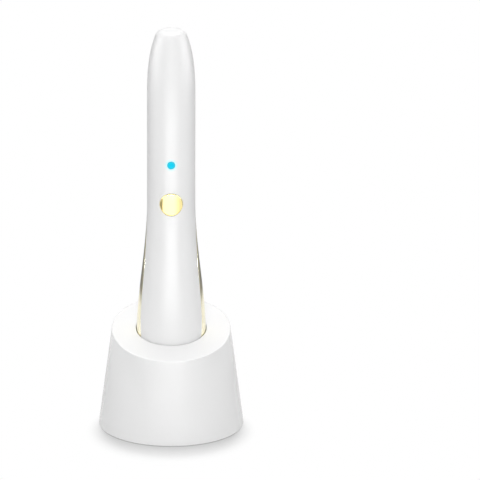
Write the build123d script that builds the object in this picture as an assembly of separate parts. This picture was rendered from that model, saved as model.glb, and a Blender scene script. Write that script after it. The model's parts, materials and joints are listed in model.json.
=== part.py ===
from build123d import *

import os
from math import cos, radians, sin, sqrt, tan

# Lengths are in millimetres and angles in degrees. Z points up, the wand's button faces -Y and its plasma
# window faces +Y. The origin is the middle of the dock's footprint, on the surface that the dock stands on.
# The wand is drawn standing in its dock.

# Wand, outer form
wand_length = 185.1
wand_seat_z = 9.0  # lowest point of the docked wand
depth_ratio = 0.92  # depth of every cross section over its width
bulge_radius = 16.3
tail_length = 39.0  # tip of the tail to the widest section
flare_length = 62.0  # widest section to the straight neck
flare_lower_handle = 16.0
flare_upper_handle = 22.0
head_radius = 11.3
crown_length = 31.7  # straight neck to the flat tip
crown_lower_handle = 17.6
crown_upper_handle = 7.9
crown_lean = 2.9
crown_radius = 6.5
crown_edge_radius = 2.1
shell_wall = 1.6
inner_clearance = 0.2

# Gold trims let into the sides, between the front shell's edge and the middle plane
trim_top_z = 105.0
trim_upper_z = 91.0
trim_upper_width = 3.0
trim_mid_z = 61.0
trim_mid_width = 6.0
trim_lower_z = 42.0
trim_lower_width = 7.5
trim_tail_z = 24.0
trim_tail_width = 6.3
trim_bottom_z = 13.0

# Plasma window on the back of the head
window_z = 159.4
window_tilt = 1.4
window_stand = 0.35  # height of the frame over the head at the window's lower end
bezel_length = 51.4
bezel_width = 10.3
frame_rim = 0.9
rim_round = 0.3
frame_depth = 4.8
bezel_sink = 0.3
bezel_thickness = 1.2
gasket_thickness = 0.4
ledge_side = 0.75
ledge_end = 3.85
plate_length = 41.7
plate_width = 7.4
plate_sink = 0.35
plate_flange = 0.5
electrode_margin = 1.0
electrode_thickness = 0.3
carrier_thickness = 1.8
fit_gap = 0.1

# Button, its switch and the status light
button_z = 111.6
button_radius = 5.4
button_proud = 0.3
button_gap = 0.15
button_travel = 0.5
button_flange_radius = 6.1
button_flange_thickness = 0.8
collar_wall = 1.3
rest_gap = 0.05
switch_size = 4.5
switch_height = 2.0
plunger_radius = 1.1
plunger_height = 0.9
plunger_gap = 0.08
light_z = 131.0
light_radius = 1.9
light_flange_radius = 2.5
light_flange_thickness = 0.6
led_width = 2.0
led_height = 1.2
led_thickness = 0.6

# Main board, power module, battery and the chassis that carries them
board_post_gap = 0.8
board_top_z = 150.0
board_width = 14.0
board_thickness = 1.0
board_front_y = -3.0
chip_size = 5.0
chip_thickness = 0.9
coil_radius = 2.6
coil_height = 2.4
capacitor_radius = 1.5
capacitor_height = 2.0
module_width = 11.6
module_depth = 6.4
module_length = 34.0
module_post_gap = 4.7
module_corner = 0.8
battery_radius = 7.0
battery_length = 50.0
battery_bottom_z = 24.0
battery_cap_radius = 2.6
battery_cap_height = 1.0
foam_width = 8.0
foam_height = 9.0
foam_end_distance = 10.0
chassis_thickness = 1.2
chassis_top_z = 158.0
chassis_bottom_z = 21.5
trough_wall = 1.2
trough_end_wall = 1.4
post_radius = 2.1
shell_post_top_z = 154.5
post_trough_gap = 1.5
screw_radius = 0.8
screw_length = 4.5
screw_head_radius = 1.6
screw_head_height = 1.0
back_post_radius = 1.8
module_post_inset = 4.0
back_post_board_gap = 3.0

# Charging contacts in the tail and their leads
contact_x = 2.7
contact_y = -2.1
contact_radius = 1.3
contact_top_z = 14.2
contact_flange_radius = 1.9
contact_flange_thickness = 0.8
lead_radius = 0.6
lead_low_x = 7.4
lead_low_y = -4.0
lead_low_z = 22.5
lead_side_x = 8.8
lead_side_y = -4.8
lead_high_z = 72.0
lead_end_x = 5.0
lead_bend = 3.6
high_lead_radius = 0.9
high_lead_x = 3.6
high_lead_rise = 9.0
high_lead_bend = 6.0
high_lead_end_bend = 1.6

# Dock
dock_base_radius = 34.3
dock_height = 47.75  # height of the slanted top face on the axis
dock_lean = 7.5
dock_top_tilt = 14.25
dock_wall = 2.2
dock_top_wall = 2.4
dock_lift = 0.3  # gap between the shell's lower edge and the table
rim_edge_radius = 0.5
mouth_edge_radius = 0.4
base_edge_radius = 0.3
well_clearance = 0.3
cup_wall = 1.8
base_thickness = 2.0
base_clearance = 0.15
foot_edge = 0.6  # base plate's rim outside the foot ring's groove
foot_width = 6.0
foot_thickness = 1.0
boss_radius = 2.6
boss_inset = 3.6  # inside of the dock's wall to a boss's axis
boss_height = 11.0
boss_count = 4
base_screw_radius = 1.2
base_screw_length = 9.0
base_screw_head_radius = 2.3
base_screw_head_height = 0.9
ballast_inner_radius = 12.4
ballast_gap = 0.4
ballast_height = 8.4
ballast_notch = 18.0

# Power inlet at the back of the dock, and the charging board
inlet_z = 7.4
recess_width = 13.0
recess_height = 7.0
recess_depth = 5.0
recess_wall = 1.2
socket_width = 8.94
socket_height = 3.26
socket_wall = 0.3
socket_length = 7.3
socket_slip = 0.08
tongue_width = 6.7
tongue_thickness = 0.7
tongue_tip_gap = 0.9
tongue_base_length = 1.6
charge_board_width = 16.0
charge_board_front_y = -8.0
charge_board_thickness = 1.0
board_end_gap = 0.2
standoff_radius = 1.8
standoff_x = 5.0
standoff_front_y = -5.6
standoff_end_distance = 9.0

# Sprung pins that meet the wand's contacts
pin_radius = 0.55
pin_flange_radius = 0.88
pin_flange_thickness = 0.4
pin_travel = 0.6
pin_reserve = 0.2  # what still stands out of the barrel with the pin pressed
pin_contact_gap = 0.06
pin_slip = 0.07
barrel_radius = 1.25
barrel_floor = 0.3
barrel_collar = 0.4
pin_spring_outer = 0.8
pin_spring_inner = 0.5
block_width = 11.0
block_depth = 5.6

# Sizes that follow from those above
wand_top_z = wand_seat_z + wand_length
bulge_z = wand_seat_z + tail_length
neck_z = bulge_z + flare_length
shoulder_z = wand_top_z - crown_length
head_depth = head_radius * depth_ratio
board_back_y = board_front_y + board_thickness
chassis_back_y = board_back_y + chassis_thickness
base_top_z = dock_lift + base_thickness
trough_top_z = battery_bottom_z + battery_length + fit_gap
trough_end_z = trough_top_z + trough_end_wall
shell_post_bottom_z = trough_end_z + screw_head_radius + post_trough_gap
board_bottom_z = shell_post_bottom_z + post_radius + board_post_gap
back_post_bottom_z = board_bottom_z + back_post_board_gap
module_bottom_z = back_post_bottom_z + back_post_radius + module_post_gap
module_top_z = module_bottom_z + module_length
module_post_z = module_top_z - module_post_inset
charge_board_top_z = inlet_z - socket_height / 2
charge_board_bottom_z = charge_board_top_z - charge_board_thickness
switch_face_y = board_front_y - switch_height
plunger_tip_y = switch_face_y - plunger_height
button_back_y = plunger_tip_y - rest_gap
button_shoulder_y = button_back_y - button_flange_thickness
reach = 2 * wand_length  # longer than anything it cuts

ledge_depth = bezel_sink + bezel_thickness + gasket_thickness
carrier_depth = bezel_sink + bezel_thickness + plate_flange + electrode_thickness
window_centre_y = head_depth + window_stand - bezel_length / 2 * tan(radians(window_tilt))
window_plane = Plane(
    origin=(0, window_centre_y, window_z),
    x_dir=(-1, 0, 0),
    z_dir=(0, cos(radians(window_tilt)), sin(radians(window_tilt))),
)
top_plane = Plane(
    origin=(0, 0, dock_height),
    x_dir=(1, 0, 0),
    z_dir=(0, -sin(radians(dock_top_tilt)), cos(radians(dock_top_tilt))),
)


def dock_radius(z):
    return dock_base_radius - z * tan(radians(dock_lean))


base_radius = dock_radius(base_top_z) - dock_wall - base_clearance
foot_outer_radius = base_radius - foot_edge
foot_inner_radius = foot_outer_radius - foot_width
boss_distance = dock_radius(base_top_z) - dock_wall - boss_inset
ballast_outer_radius = boss_distance - boss_radius - ballast_gap
recess_floor_y = dock_radius(inlet_z) - recess_depth
charge_board_back_y = recess_floor_y - recess_wall - board_end_gap
standoff_back_y = charge_board_back_y - standoff_end_distance


def pin_tip_z():
    """Top of a pin's round end, where it just clears the sloping contact above it."""
    distance = sqrt(contact_x**2 + (contact_y / depth_ratio) ** 2)
    share = distance / bulge_radius
    contact_z = bulge_z - tail_length * sqrt(1 - share**2)
    slope = tail_length / bulge_radius * share / sqrt(1 - share**2)
    return contact_z - pin_radius * (sqrt(1 + slope**2) - 1) - pin_contact_gap


pin_tip = pin_tip_z()
barrel_top_z = pin_tip - pin_travel - pin_reserve
barrel_shoulder_z = barrel_top_z - barrel_collar
pin_flange_top_z = barrel_shoulder_z - rest_gap / 2
pin_flange_bottom_z = pin_flange_top_z - pin_flange_thickness


def block(x_range, y_range, z_range):
    """Box between the given lower and upper ends along X, Y and Z."""
    size = [high - low for low, high in (x_range, y_range, z_range)]
    middle = [(high + low) / 2 for low, high in (x_range, y_range, z_range)]
    return Pos(*middle) * Box(*size)


def rod_y(radius, y_from, y_to, x=0, z=0):
    """Cylinder along Y."""
    middle = (x, (y_from + y_to) / 2, z)
    return Pos(*middle) * Rot(90, 0, 0) * Cylinder(radius, abs(y_to - y_from))


def rod_z(radius, z_from, z_to, x=0, y=0):
    """Cylinder along Z."""
    return Pos(x, y, (z_from + z_to) / 2) * Cylinder(radius, abs(z_to - z_from))


def spin(face, turn=360):
    """Solid of revolution about Z of a face drawn as radius and height, flattened along Y."""
    return scale(revolve(Plane.XZ * face, Axis.Z, turn), by=(1, depth_ratio, 1), about=(0, 0, 0))


def wand_outline(inset):
    """Half of the wand's outline from its axis, drawn in by inset."""
    low = wand_seat_z + inset
    high = wand_top_z - inset
    bulge = bulge_radius - inset
    head = head_radius - inset
    crown = crown_radius - inset
    tail = EllipticalCenterArc((0, bulge_z), bulge, bulge_z - low, -90, arc_size=90)
    flare = Bezier(
        (bulge, bulge_z),
        (bulge, bulge_z + flare_lower_handle),
        (head, neck_z - flare_upper_handle),
        (head, neck_z),
    )
    neck = Line((head, neck_z), (head, shoulder_z))
    crown_curve = Bezier(
        (head, shoulder_z),
        (head, shoulder_z + crown_lower_handle),
        (crown + crown_lean, high - crown_upper_handle),
        (crown, high),
    )
    tip = Line((crown, high), (0, high))
    axis_line = Line((0, high), (0, low))
    face = make_face([tail, flare, neck, crown_curve, tip, axis_line])
    corner = face.vertices().sort_by_distance((crown, high))[0]
    return fillet(corner, crown_edge_radius - inset / 2)


def wand_form(inset):
    """Whole outer form of the wand, drawn in by inset."""
    return spin(wand_outline(inset))


def half_wall(side):
    """Front (-1) or back (+1) half of the wand's wall."""
    return spin(wand_outline(0) - wand_outline(shell_wall), side * 180)


outer_form = wand_form(0)
inner_form = wand_form(shell_wall)
chassis_form = wand_form(shell_wall + inner_clearance)
front_wall = half_wall(-1)


def window_slab(length, width, outer_depth, inner_depth):
    """Prism with round ends, parallel to the window, between two depths under the frame's face."""
    plane = window_plane.offset(-inner_depth)
    return extrude(plane * SlotOverall(length, width, rotation=90), inner_depth - outer_depth)


def trim_region():
    """Prism along X that cuts both trims out of the wall."""
    points = [
        (0, trim_top_z),
        (-trim_upper_width, trim_upper_z),
        (-trim_mid_width, trim_mid_z),
        (-trim_lower_width, trim_lower_z),
        (-trim_tail_width, trim_tail_z),
        (0, trim_bottom_z),
    ]
    front_edge = Spline(points)
    back_edge = Polyline(points[-1], (shell_wall, trim_bottom_z), (shell_wall, trim_top_z), points[0])
    return extrude(Plane.YZ * make_face([front_edge, back_edge]), bulge_radius + shell_wall, both=True)


def contact_places():
    return [(side * contact_x, contact_y) for side in (-1, 1)]


def front_shell():
    shell = front_wall - trim_region()
    inside = wand_form(shell_wall / 2)
    guide_radius = button_radius + button_gap
    guide_end_y = button_shoulder_y - rest_gap
    collar = rod_y(guide_radius + collar_wall, -head_radius, guide_end_y, z=button_z)
    posts = [
        rod_y(post_radius, -bulge_radius, board_back_y, z=shell_post_top_z),
        rod_y(post_radius, -bulge_radius, board_back_y, z=shell_post_bottom_z),
    ]
    shell += (collar + posts[0] + posts[1]) & inside
    shell -= rod_y(guide_radius, -reach, board_front_y, z=button_z)
    shell -= rod_y(light_radius, -reach, board_front_y, z=light_z)
    for x, y in contact_places():
        shell -= rod_z(contact_radius, 0, contact_top_z, x, y)
    for z in (shell_post_top_z, shell_post_bottom_z):
        shell -= rod_y(screw_radius, board_back_y - screw_length, board_back_y, z=z)
    return shell


def back_shell():
    shell = half_wall(1)
    inside = wand_form(shell_wall / 2)
    module_back_y = chassis_back_y + module_depth
    for y, z in ((module_back_y, module_post_z), (chassis_back_y, back_post_bottom_z)):
        shell += rod_y(back_post_radius, y, bulge_radius, z=z) & inside
    frame_length = bezel_length + 2 * frame_rim
    frame_width = bezel_width + 2 * frame_rim
    return shell - window_slab(frame_length, frame_width, -bulge_radius, frame_depth)


def side_trim(side):
    """Gold trim on the left (-1) or right (+1) side, seen from the button."""
    half = block(sorted((0, side * reach)), (-reach, reach), (-reach, reach))
    return front_wall & trim_region() & half


def window_frame():
    outer = window_slab(bezel_length + 2 * frame_rim, bezel_width + 2 * frame_rim, 0, frame_depth)
    rim_face = outer.faces().sort_by(Axis((0, 0, 0), window_plane.z_dir))[-1]
    outer = fillet(rim_face.edges(), rim_round)
    seat = window_slab(bezel_length, bezel_width, 0, ledge_depth)
    ledge_hole = window_slab(bezel_length - 2 * ledge_end, bezel_width - 2 * ledge_side, 0, frame_depth)
    return outer - seat - ledge_hole


def window_bezel():
    plate = window_slab(bezel_length, bezel_width, bezel_sink, bezel_sink + bezel_thickness)
    return plate - window_slab(plate_length, plate_width, 0, ledge_depth)


def window_gasket():
    top = bezel_sink + bezel_thickness
    ring = window_slab(bezel_length - fit_gap, bezel_width - fit_gap, top, ledge_depth)
    hole_length = bezel_length - 2 * ledge_end + fit_gap
    hole_width = bezel_width - 2 * ledge_side + fit_gap
    return ring - window_slab(hole_length, hole_width, 0, frame_depth)


def ceramic_plate():
    top = bezel_sink + bezel_thickness
    face = window_slab(plate_length, plate_width, plate_sink, top)
    flange_length = bezel_length - 2 * ledge_end - 2 * fit_gap
    flange_width = bezel_width - 2 * ledge_side - 2 * fit_gap
    return face + window_slab(flange_length, flange_width, top, top + plate_flange)


def electrode_plate():
    top = bezel_sink + bezel_thickness + plate_flange
    length = plate_length - 2 * electrode_margin
    width = plate_width - 2 * electrode_margin
    return window_slab(length, width, top, top + electrode_thickness)


def electrode_carrier():
    length = bezel_length - 2 * ledge_end - 2 * fit_gap
    width = bezel_width - 2 * ledge_side - 2 * fit_gap
    carrier = window_slab(length, width, carrier_depth, carrier_depth + carrier_thickness)
    lead_hole = window_slab(4 * high_lead_radius, 2 * high_lead_radius + fit_gap, 0, reach)
    return carrier - lead_hole


def button_cap():
    cap = rod_y(button_radius, -bulge_radius, button_back_y, z=button_z) & wand_form(-button_proud)
    face = cap.faces().sort_by(Axis.Y)[0]
    cap = fillet(face.edges(), button_proud)
    return cap + rod_y(button_flange_radius, button_shoulder_y, button_back_y, z=button_z)


def switch_plunger():
    tail_y = switch_face_y + button_travel + plunger_gap
    return rod_y(plunger_radius, plunger_tip_y, tail_y, z=button_z)


def tact_switch():
    half = switch_size / 2
    body = block((-half, half), (switch_face_y, board_front_y), (button_z - half, button_z + half))
    bore_end = switch_face_y + 2 * button_travel + 2 * plunger_gap
    return body - rod_y(plunger_radius + plunger_gap, switch_face_y, bore_end, z=button_z)


def light_lens():
    inner_y = -(head_radius - shell_wall) * depth_ratio
    lens = rod_y(light_radius, -bulge_radius, board_front_y - led_thickness - fit_gap, z=light_z) & outer_form
    flange_y = inner_y + light_flange_thickness
    return lens + rod_y(light_flange_radius, flange_y, flange_y + light_flange_thickness, z=light_z)


def status_led():
    return block(
        (-led_width / 2, led_width / 2),
        (board_front_y - led_thickness, board_front_y),
        (light_z - led_height / 2, light_z + led_height / 2),
    )


def main_board():
    half = board_width / 2
    return block((-half, half), (board_front_y, board_back_y), (board_bottom_z, board_top_z))


def board_parts():
    """Controller chip, coil and two capacitors on the front of the main board."""
    half = chip_size / 2
    chip_z = light_z + 2 * chip_size
    coil_z = board_bottom_z + 2 * coil_radius + half
    chip_face_y = board_front_y - chip_thickness
    chip = block((-half, half), (chip_face_y, board_front_y), (chip_z - half, chip_z + half))
    parts = [chip, rod_y(coil_radius, board_front_y - coil_height, board_front_y, z=coil_z)]
    for side in (-1, 1):
        x = side * (board_width / 2 - 2 * capacitor_radius + capacitor_radius / 2)
        z = coil_z + 2 * coil_radius + capacitor_radius
        parts.append(rod_y(capacitor_radius, board_front_y - capacitor_height, board_front_y, x, z))
    return Compound(parts)


def power_module():
    half = module_width / 2
    body = block(
        (-half, half),
        (chassis_back_y, chassis_back_y + module_depth),
        (module_bottom_z, module_top_z),
    )
    return fillet(body.edges().filter_by(Axis.Z), module_corner)


def battery_cell():
    top = battery_bottom_z + battery_length
    can = rod_z(battery_radius, battery_bottom_z, top - battery_cap_height)
    can = fillet(can.edges(), battery_cap_height / 2)
    return can + rod_z(battery_cap_radius, top - battery_cap_height - module_corner, top)


def battery_foams():
    """Two pads between the battery and the front shell."""
    pads = []
    top = battery_bottom_z + battery_length
    can = rod_z(battery_radius + rest_gap, 0, reach)
    for z in (battery_bottom_z + foam_end_distance, top - foam_end_distance):
        pad = block(
            (-foam_width / 2, foam_width / 2),
            (-bulge_radius, -battery_radius / 2),
            (z - foam_height / 2, z + foam_height / 2),
        )
        pads.append((pad & inner_form) - can)
    return Compound([solid for pad in pads for solid in pad.solids()])


def chassis():
    """Plate behind the board that widens to the shell, with a trough for the battery under it."""
    wing_half = chassis_thickness / 2
    plate = block((-reach, reach), (board_back_y, chassis_back_y), (trough_top_z, chassis_top_z))
    wings = block((-reach, reach), (-wing_half, wing_half), (chassis_bottom_z, trough_end_z))
    bridge = block((-reach, reach), (board_back_y, wing_half), (trough_top_z, trough_end_z))
    frame = (plate + wings + bridge) & chassis_form
    trough = rod_z(battery_radius + trough_wall, chassis_bottom_z, trough_end_z)
    trough &= block((-reach, reach), (-wing_half, reach), (-reach, reach))
    frame += trough
    frame -= rod_z(battery_radius + fit_gap, battery_bottom_z - fit_gap, trough_top_z)
    for z in (shell_post_top_z, shell_post_bottom_z):
        frame -= rod_y(screw_radius, -bulge_radius, bulge_radius, z=z)
    return frame


def chassis_screws():
    """Two screws that hold the chassis to the front shell's posts."""
    screws = []
    for z in (shell_post_top_z, shell_post_bottom_z):
        head = rod_y(screw_head_radius, chassis_back_y, chassis_back_y + screw_head_height, z=z)
        shank = rod_y(screw_radius, board_back_y - screw_length + fit_gap, chassis_back_y, z=z)
        slot_half = screw_radius / 4
        slot = block(
            (-reach, reach),
            (chassis_back_y + screw_head_height / 2, reach),
            (z - slot_half, z + slot_half),
        )
        screws.append(head + shank - slot)
    return Compound([solid for screw in screws for solid in screw.solids()])


def contact_pads():
    pads = []
    for x, y in contact_places():
        pin = rod_z(contact_radius, 0, contact_top_z, x, y) & outer_form
        flange_z = contact_top_z - contact_flange_thickness
        pads.append(pin + (rod_z(contact_flange_radius, flange_z, contact_top_z, x, y) & inner_form))
    return Compound([solid for pad in pads for solid in pad.solids()])


def tube_along(points, radii, radius):
    path = FilletPolyline(*points, radius=radii)
    start = Plane(origin=path @ 0, z_dir=path % 0)
    return sweep(start * Circle(radius), path=path)


def charge_leads():
    """Leads from the contacts, past the battery's sides, to the main board's lower edge."""
    leads = []
    end_y = board_front_y - lead_radius
    for x, y in contact_places():
        side = 1 if x > 0 else -1
        points = [
            (x, y, contact_top_z),
            (x, y, contact_top_z + lead_bend),
            (side * lead_low_x, lead_low_y, lead_low_z),
            (side * lead_side_x, lead_side_y, lead_low_z + 2 * lead_bend),
            (side * lead_side_x, lead_side_y, lead_high_z),
            (side * lead_end_x, end_y, board_bottom_z - lead_bend / 2),
            (side * lead_end_x, end_y, board_bottom_z + lead_bend / 2),
        ]
        small = lead_bend / 2
        leads.append(tube_along(points, [small, lead_bend, lead_bend, lead_bend, small], lead_radius))
    return Compound([solid for lead in leads for solid in lead.solids()])


def high_voltage_lead():
    """Lead from the power module's top, through the carrier, to the electrode."""
    start_y = chassis_back_y + module_depth / 2
    normal = window_plane.z_dir
    end = window_plane.origin - normal * carrier_depth
    bend = window_plane.origin - normal * (window_centre_y - start_y + high_lead_radius)
    points = [
        (high_lead_x, start_y, module_top_z),
        (high_lead_x, start_y, module_top_z + high_lead_rise),
        (bend.X, bend.Y, bend.Z),
        (end.X, end.Y, end.Z),
    ]
    return tube_along(points, [high_lead_bend, high_lead_end_bend], high_lead_radius)


def dock_cone(inset, low):
    """Round tapered body of the dock, from low to above its top, drawn in by inset."""
    high = 2 * dock_height
    outline = Polyline(
        (0, low),
        (dock_radius(low) - inset, low),
        (dock_radius(high) - inset, high),
        (0, high),
        close=True,
    )
    return revolve(Plane.XZ * make_face(outline), Axis.Z)


def well_form(inset):
    """Well for the wand's tail, up through the dock's top, drawn in by inset."""
    bulge = bulge_radius + well_clearance - inset
    low = wand_seat_z - well_clearance + inset
    high = 2 * dock_height
    tail = EllipticalCenterArc((0, bulge_z), bulge, bulge_z - low, -90, arc_size=90)
    rest = Polyline((bulge, bulge_z), (bulge, high), (0, high), (0, low))
    return spin(make_face([tail, rest]))


def boss_places():
    turn = 360 / boss_count
    return [Vector(boss_distance, 0, 0).rotate(Axis.Z, turn / 2 + turn * i) for i in range(boss_count)]


def slot_y(width, height, y_from, y_to):
    """Prism with round ends along Y, centred on the inlet."""
    plane = Plane(origin=(0, y_from, inlet_z), x_dir=(-1, 0, 0), z_dir=(0, 1, 0))
    return extrude(plane * SlotOverall(width, height), y_to - y_from)


def dock_shell():
    body = split(dock_cone(0, dock_lift), bisect_by=top_plane, keep=Keep.BOTTOM)
    body -= well_form(0)
    flat = [face for face in body.faces() if (face.normal_at() - top_plane.z_dir).length < fit_gap][0]
    body = fillet(flat.outer_wire().edges(), rim_edge_radius)
    flat = [face for face in body.faces() if (face.normal_at() - top_plane.z_dir).length < fit_gap][0]
    body = fillet(flat.inner_wires()[0].edges(), mouth_edge_radius)
    lower = body.edges().filter_by_position(Axis.Z, dock_lift, dock_lift)
    body = fillet(lower.sort_by(SortBy.LENGTH)[-1], base_edge_radius)
    cavity = split(dock_cone(dock_wall, 0), bisect_by=top_plane.offset(-dock_top_wall), keep=Keep.BOTTOM)
    shell = body - cavity
    bosses = Part()
    for place in boss_places():
        bosses += rod_z(boss_radius, base_top_z, base_top_z + boss_height, place.X, place.Y)
    shell += bosses & dock_cone(dock_wall / 2, 0)
    floor_y = recess_floor_y - recess_wall
    outside_y = 2 * dock_base_radius
    tunnel = slot_y(recess_width + 2 * recess_wall, recess_height + 2 * recess_wall, floor_y, outside_y)
    shell += tunnel & dock_cone(dock_wall / 2, 0)
    shell -= slot_y(recess_width, recess_height, recess_floor_y, outside_y)
    shell -= slot_y(socket_width + 2 * socket_slip, socket_height + 2 * socket_slip, 0, outside_y)
    for place in boss_places():
        shell -= rod_z(base_screw_radius, 0, base_top_z + base_screw_length, place.X, place.Y)
    return shell


def well_cup():
    cup = well_form(-cup_wall) - well_form(0)
    cup = split(cup, bisect_by=top_plane.offset(-dock_top_wall), keep=Keep.BOTTOM)
    for x, y in contact_places():
        cup -= rod_z(barrel_radius + rest_gap, 0, bulge_z, x, y)
    return cup


def base_plate():
    disc = rod_z(base_radius, dock_lift, base_top_z)
    groove = rod_z(foot_outer_radius, 0, foot_thickness) - rod_z(foot_inner_radius, 0, foot_thickness)
    disc -= groove
    head_top = foot_thickness + base_screw_head_height
    for place in boss_places():
        disc -= rod_z(base_screw_head_radius + fit_gap, 0, head_top, place.X, place.Y)
        disc -= rod_z(base_screw_radius + fit_gap, 0, base_top_z, place.X, place.Y)
    for side in (-1, 1):
        for y in (standoff_front_y, standoff_back_y):
            disc += rod_z(standoff_radius, base_top_z, charge_board_bottom_z, side * standoff_x, y)
    return disc


def base_screws():
    screws = []
    head_top = foot_thickness + base_screw_head_height
    shank_top = base_top_z + base_screw_length - fit_gap
    for place in boss_places():
        head = rod_z(base_screw_head_radius, foot_thickness, head_top, place.X, place.Y)
        screws.append(head + rod_z(base_screw_radius, foot_thickness, shank_top, place.X, place.Y))
    return Compound([solid for screw in screws for solid in screw.solids()])


def foot_ring():
    gap = fit_gap / 2
    ring = rod_z(foot_outer_radius - gap, 0, foot_thickness)
    return ring - rod_z(foot_inner_radius + gap, 0, foot_thickness)


def ballast_ring():
    top = base_top_z + ballast_height
    ring = rod_z(ballast_outer_radius, base_top_z, top) - rod_z(ballast_inner_radius, 0, reach)
    return ring - block((-ballast_notch / 2, ballast_notch / 2), (0, reach), (0, reach))


def charge_board():
    half = charge_board_width / 2
    return block(
        (-half, half),
        (charge_board_front_y, charge_board_back_y),
        (charge_board_bottom_z, charge_board_top_z),
    )


def charge_board_parts():
    """Charging chip and two capacitors on the dock's board."""
    half = chip_size / 2
    chip_y = (ballast_inner_radius + standoff_back_y) / 2
    chip_top_z = charge_board_top_z + chip_thickness
    capacitor_top_z = charge_board_top_z + capacitor_height
    parts = [block((-half, half), (chip_y - half, chip_y + half), (charge_board_top_z, chip_top_z))]
    for side in (-1, 1):
        x = side * (charge_board_width / 2 - capacitor_radius - fit_gap)
        parts.append(rod_z(capacitor_radius, charge_board_top_z, capacitor_top_z, x, chip_y))
    return Compound(parts)


def inlet_socket():
    front_y = recess_floor_y - fit_gap
    back_y = front_y - socket_length
    outer = slot_y(socket_width, socket_height, back_y, front_y)
    inner = slot_y(socket_width - 2 * socket_wall, socket_height - 2 * socket_wall, back_y, front_y)
    return outer - inner


def inlet_tongue():
    front_y = recess_floor_y - fit_gap
    back_y = front_y - socket_length
    half = tongue_width / 2
    slab_half = tongue_thickness / 2
    base = slot_y(
        socket_width - 2 * socket_wall, socket_height - 2 * socket_wall, back_y, back_y + tongue_base_length
    )
    return base + block(
        (-half, half), (back_y, front_y - tongue_tip_gap), (inlet_z - slab_half, inlet_z + slab_half)
    )


def pin_block():
    half = block_width / 2
    top = wand_seat_z
    body = block(
        (-half, half),
        (contact_y - block_depth / 2, contact_y + block_depth / 2),
        (charge_board_top_z, top),
    )
    body -= well_form(-cup_wall - fit_gap)
    for x, y in contact_places():
        body -= rod_z(barrel_radius + rest_gap, 0, bulge_z, x, y)
    return body


def pin_barrels():
    """Tubes that guide the pins, each with a floor and an inward collar at its mouth."""
    barrels = []
    floor_z = charge_board_top_z + barrel_floor
    for x, y in contact_places():
        tube = rod_z(barrel_radius, charge_board_top_z, barrel_top_z, x, y)
        tube -= rod_z(pin_flange_radius + pin_slip, floor_z, barrel_shoulder_z, x, y)
        tube -= rod_z(pin_radius + pin_slip, barrel_shoulder_z, barrel_top_z, x, y)
        barrels.append(tube)
    return Compound([solid for barrel in barrels for solid in barrel.solids()])


def charging_pin(side):
    x = side * contact_x
    ball_z = pin_tip - pin_radius
    shaft = rod_z(pin_radius, pin_flange_bottom_z, ball_z, x, contact_y)
    round_end = Pos(x, contact_y, ball_z) * Sphere(pin_radius)
    flange = rod_z(pin_flange_radius, pin_flange_bottom_z, pin_flange_top_z, x, contact_y)
    return shaft + round_end + flange


def pin_spring(side):
    low = charge_board_top_z + barrel_floor
    high = pin_flange_bottom_z
    x = side * contact_x
    return rod_z(pin_spring_outer, low, high, x, contact_y) - rod_z(pin_spring_inner, low, high, x, contact_y)


def all_parts():
    return {
        "front_shell": front_shell(),
        "back_shell": back_shell(),
        "left_side_trim": side_trim(-1),
        "right_side_trim": side_trim(1),
        "window_frame": window_frame(),
        "window_bezel": window_bezel(),
        "window_gasket": window_gasket(),
        "ceramic_plate": ceramic_plate(),
        "electrode_plate": electrode_plate(),
        "electrode_carrier": electrode_carrier(),
        "high_voltage_lead": high_voltage_lead(),
        "button_cap": button_cap(),
        "switch_plunger": switch_plunger(),
        "tact_switch": tact_switch(),
        "light_lens": light_lens(),
        "status_led": status_led(),
        "main_board": main_board(),
        "board_parts": board_parts(),
        "power_module": power_module(),
        "battery_cell": battery_cell(),
        "battery_foams": battery_foams(),
        "chassis": chassis(),
        "chassis_screws": chassis_screws(),
        "contact_pads": contact_pads(),
        "charge_leads": charge_leads(),
        "dock_shell": dock_shell(),
        "well_cup": well_cup(),
        "base_plate": base_plate(),
        "base_screws": base_screws(),
        "foot_ring": foot_ring(),
        "ballast_ring": ballast_ring(),
        "charge_board": charge_board(),
        "charge_board_parts": charge_board_parts(),
        "inlet_socket": inlet_socket(),
        "inlet_tongue": inlet_tongue(),
        "pin_block": pin_block(),
        "pin_barrels": pin_barrels(),
        "left_charging_pin": charging_pin(-1),
        "right_charging_pin": charging_pin(1),
        "left_pin_spring": pin_spring(-1),
        "right_pin_spring": pin_spring(1),
    }


os.makedirs("parts", exist_ok=True)
for name, shape in all_parts().items():
    export_step(shape, f"parts/{name}.step")
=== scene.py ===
import json
import math

import bmesh
import bpy
import numpy as np
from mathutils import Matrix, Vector


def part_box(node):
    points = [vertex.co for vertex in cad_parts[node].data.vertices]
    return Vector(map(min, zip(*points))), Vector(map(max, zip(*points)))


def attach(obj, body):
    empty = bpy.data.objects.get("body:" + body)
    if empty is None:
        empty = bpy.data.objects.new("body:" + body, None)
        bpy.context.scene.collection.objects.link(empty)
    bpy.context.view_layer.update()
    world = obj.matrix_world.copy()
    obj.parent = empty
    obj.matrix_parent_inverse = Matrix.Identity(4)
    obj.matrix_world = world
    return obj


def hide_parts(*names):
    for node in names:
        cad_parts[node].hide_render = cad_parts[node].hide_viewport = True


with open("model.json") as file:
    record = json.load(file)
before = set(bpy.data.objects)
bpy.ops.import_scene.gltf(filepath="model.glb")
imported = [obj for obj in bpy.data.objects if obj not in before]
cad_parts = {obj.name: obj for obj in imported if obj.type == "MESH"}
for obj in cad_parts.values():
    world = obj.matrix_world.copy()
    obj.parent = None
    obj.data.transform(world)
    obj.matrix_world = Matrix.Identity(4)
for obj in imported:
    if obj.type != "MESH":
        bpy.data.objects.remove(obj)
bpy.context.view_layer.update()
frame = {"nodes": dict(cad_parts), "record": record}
scene = bpy.context.scene

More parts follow.
